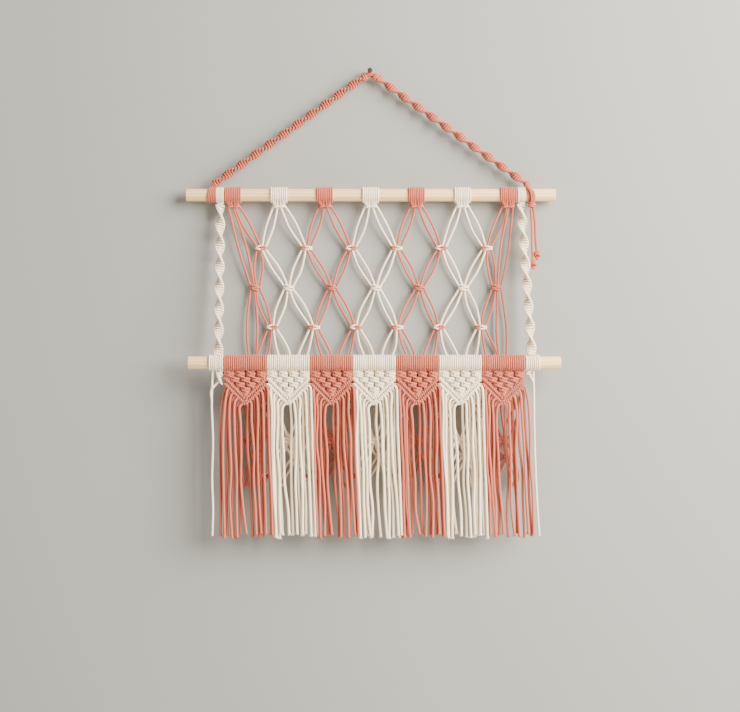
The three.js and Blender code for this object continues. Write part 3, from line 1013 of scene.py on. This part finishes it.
def panelLegs(middle, z):
    legs = []
    for side in (-1, 1):
        for k in (0, 1):
            shift = (0.9 + 2.1 * k) * mm
            foot = flap["knotPitch"] / 2 - (2.4 - 1.6 * k) * mm
            legs.append(strand(smoothPath([
                (middle + side * shift, flapY, z - 2 * mm),
                (middle + side * (shift + 1.8 * mm), flapY - 0.4 * mm, z - 4.6 * mm),
                (middle + side * foot, flapY, z - 8 * mm)]), 1.5 * mm))
    return legs


fringe = {
    "perSide": 8,
    "radius": 1.95 * mm,
    "places": ((9.2, 12.8, 16.2, 19.3, 22.0, 24.5, 26.7, 28.7),      # mm from the apex, left half
               (3.6, 9.2, 13.8, 18.0, 22.0, 26.0, 30.0, 33.8)),      # and right half
    "declared": ((0, 4, 7), (0, 7)),     # strands that are pieces of their own, left and right
    "wave": 1.8 * mm,
    "drift": 2.4 * mm,
    "rearPaintedShade": 1.2,         # painted shade: how much darker the strands that lie behind are painted
    "lean": 7 * mm,          # all ends hang a little to the right
    "layer": 1.9 * mm,
    "outward": 9 * mm,       # how far the outermost strands of the whole row stand out
    "frays": 9,              # loose threads at the end of a strand
}


def liesBehind(side, i):
    return (i % 2 == 0) == (side > 0)


def fringeStrand(column, side, i):
    share = (i + 0.6) / fringe["perSide"]
    x = sectionX[column]
    startX = x + side * share * flap["halfWidth"]
    startZ = panelTop - flap["outerApex"] + share * (flap["outerApex"] - flap["outerCorner"]) - 0.6 * mm
    last = i == fringe["perSide"] - 1
    free = isOuter(column, side)
    endX = x + side * fringe["places"][halfOf(side)][i] * mm
    spread = 0
    if free:
        outward = fringe["outward"] + (fringe["lean"] if side < 0 else -3 * mm)
        spread = side * outward * (i / (fringe["perSide"] - 1)) ** 1.6
    layer = flapY + (fringe["layer"] if liesBehind(side, i) else -fringe["layer"])
    foot = fringeFoot + dice.uniform(1, 9) * mm
    wave = fringe["wave"] * (0.25 if last and not free else 1)
    drift = fringe["lean"] + dice.uniform(-1, 1) * fringe["drift"] * (0 if last else 1)
    if i == 0:
        drift += dice.uniform(-1, 0.2) * 4 * mm * side
    route = [(startX, flapY - 0.4 * mm, startZ),
             (startX + (endX - startX) * 0.66, (flapY + layer) / 2, startZ - 2.4 * mm),
             (endX + spread * 0.12, layer, startZ - 9 * mm)]
    endX += spread * 0.35
    for drop in (32, 75, 118, 160):
        z = startZ - drop * mm
        if z > foot + 18 * mm:
            fall = drop / 200
            x = endX + spread * 0.65 * fall + dice.uniform(-1, 1) * wave + drift * fall ** 1.5
            route.append((x, layer + dice.uniform(-0.4, 0.4) * mm, z))
    route.append((endX + spread * 0.65 + dice.uniform(-1, 1) * wave + drift, layer, foot))
    return smoothPath(route)


def frays(end):
    ends = []
    for angle in angles(fringe["frays"], fringe["frays"]):
        angle += dice.random()
        reach = dice.uniform(1.4, 3.1) * mm
        sideways, deep = math.cos(angle), math.sin(angle)
        ends.append(strand([(end[0] + sideways * 1.1 * mm, end[1] + deep * 1.0 * mm, end[2] + 3 * mm),
                            (end[0] + sideways * reach, end[1] + deep * reach * 0.7,
                             end[2] - dice.uniform(0.4, 2.8) * mm)], 0.5 * mm))
    return ends


def buildFringe(column):
    cords = []
    for side in (-1, 1):
        for i in range(fringe["perSide"]):
            route = fringeStrand(column, side, i)
            # Strands that lie behind get painted shade
            tone = dice.random() - (fringe["rearPaintedShade"] if liesBehind(side, i) else 0)
            shape = [strand(route, fringe["radius"], tone)] + frays(route[-1])
            if i in fringe["declared"][halfOf(side)]:
                label = f"fringe_strand_{column + 1}_{'left' if side < 0 else 'right'}_{i + 1}"
                piece = cordPiece(label, shape, columnCotton(column), f"flap_{column + 1}", [])
            else:
                cords += shape
    cordPiece(f"flap_fringe_{column + 1}", cords, columnCotton(column), f"flap_{column + 1}",
              [f"fringe_{column + 1}"])


buildHanger()
buildHangerWraps()
buildTails()
print("hanger made")
dowelPiece("upper_dowel", upperAxis, "upper")
dowelPiece("lower_dowel", lowerAxis, "front")
buildSides()
buildSideStrands()
print("dowels and sides made")
for column in range(sections):
    buildTopKnot(column)
    buildBackNet(column)
    buildFrontNet(column)
    buildFrontWrap(column)
    buildPanel(column)
    buildFringe(column)
print("net and flaps made")


# Wall, floor, lights and camera

studio = {
    "wallY": 9 * mm,
    "floorDrop": 1.9,
    "distance": 2.4,
    "lookZ": -0.4198,
    "view": 1.1174,          # width seen at the hanging's plane
    "wall": linear(147, 146, 139),
    "floor": linear(225, 223, 218),
    "nail": linear(70, 52, 44),
    "air": 0.37,             # strength of the even light from all round
}
lights = {                   # place, size, power and colour
    "key": ((1.85, -1.35, 0.5), 1.9, 365, (1.0, 0.97, 0.93)),
    "fill": ((-1.4, -2.8, 0.3), 2.2, 15, (0.98, 0.99, 1.0)),
    "behind": ((-0.6, 1.8, 0.4), 1.6, 34, (1.0, 0.99, 0.97)),
}


def plainMaterial(name, colour, oneSided):
    material, graph = startMaterial(name)
    matt = graph.add("ShaderNodeBsdfPrincipled", None,
                     {"Base Color": colour, "Roughness": 0.9, "Specular IOR Level": 0.1})
    if oneSided:
        back = graph.add("ShaderNodeNewGeometry", out="Backfacing")
        clear = graph.add("ShaderNodeBsdfTransparent")
        matt = graph.add("ShaderNodeMixShader", None, {0: back, 1: matt, 2: clear})
    graph.add("ShaderNodeOutputMaterial", None, {"Surface": matt})
    return material


def sheetOf(name, corners, material):
    mesh = meshOf(name, corners, [], [(0, 1, 2, 3)])
    mesh.materials.append(material)
    linked(name, mesh)


def nailIn(wallY):
    # The headed nail that the hanger hangs on
    rings = [(wallY, 1.5 * mm), (-8.4 * mm, 1.5 * mm), (-8.8 * mm, 3.6 * mm), (-10.2 * mm, 3.9 * mm),
             (-10.8 * mm, 3.2 * mm), (-10.9 * mm, 0)]
    places, around = [], 24
    for y, radius in rings:
        for angle in angles(around, around):
            places.append((radius * math.cos(angle), y, 11.4 * mm - 0.12 * y + radius * math.sin(angle)))
    mesh = meshOf("nail", places, [], turnedFaces(len(rings), around))
    mesh.shade_smooth()
    mesh.materials.append(plainMaterial("nail_steel", studio["nail"], False))
    linked("nail", mesh)


def softLight(name, place, target, size, power, colour):
    lamp = bpy.data.lights.new(name, "AREA")
    lamp.size = size
    lamp.energy = power
    lamp.color = colour
    light = linked(name, lamp)
    light.location = place
    light.rotation_euler = (Vector(target) - Vector(place)).to_track_quat("-Z", "Y").to_euler()


wide, tall, deep = 3.0, 2.5, 3.5
wallY, floorZ = studio["wallY"], -studio["floorDrop"]
nailIn(wallY)
sheetOf("wall", [(-wide, wallY, floorZ), (wide, wallY, floorZ), (wide, wallY, tall), (-wide, wallY, tall)],
        plainMaterial("wall_paint", studio["wall"], True))
sheetOf("floor", [(-wide, -deep, floorZ), (wide, -deep, floorZ), (wide, deep, floorZ), (-wide, deep, floorZ)],
        plainMaterial("floor_paint", studio["floor"], False))
for name, (place, size, power, colour) in lights.items():
    softLight(name, place, (0.0, 0.0, studio["lookZ"]), size, power, colour)
bpy.data.objects["wall"].visible_shadow = False
world = bpy.data.worlds.new("studio")
bpy.context.scene.world = world
world.use_nodes = True
air = world.node_tree.nodes["Background"].inputs
air["Color"].default_value = (1.0, 1.0, 1.0, 1.0)
air["Strength"].default_value = studio["air"]

lens = bpy.data.cameras.new("camera")
lens.sensor_width = 36
lens.lens = 36 * studio["distance"] / studio["view"]
camera = linked("camera", lens)
camera.location = (0.0, -studio["distance"] - 0.015, studio["lookZ"])
camera.rotation_euler = (math.pi / 2, 0, 0)
bpy.context.scene.camera = camera
print("stage made")
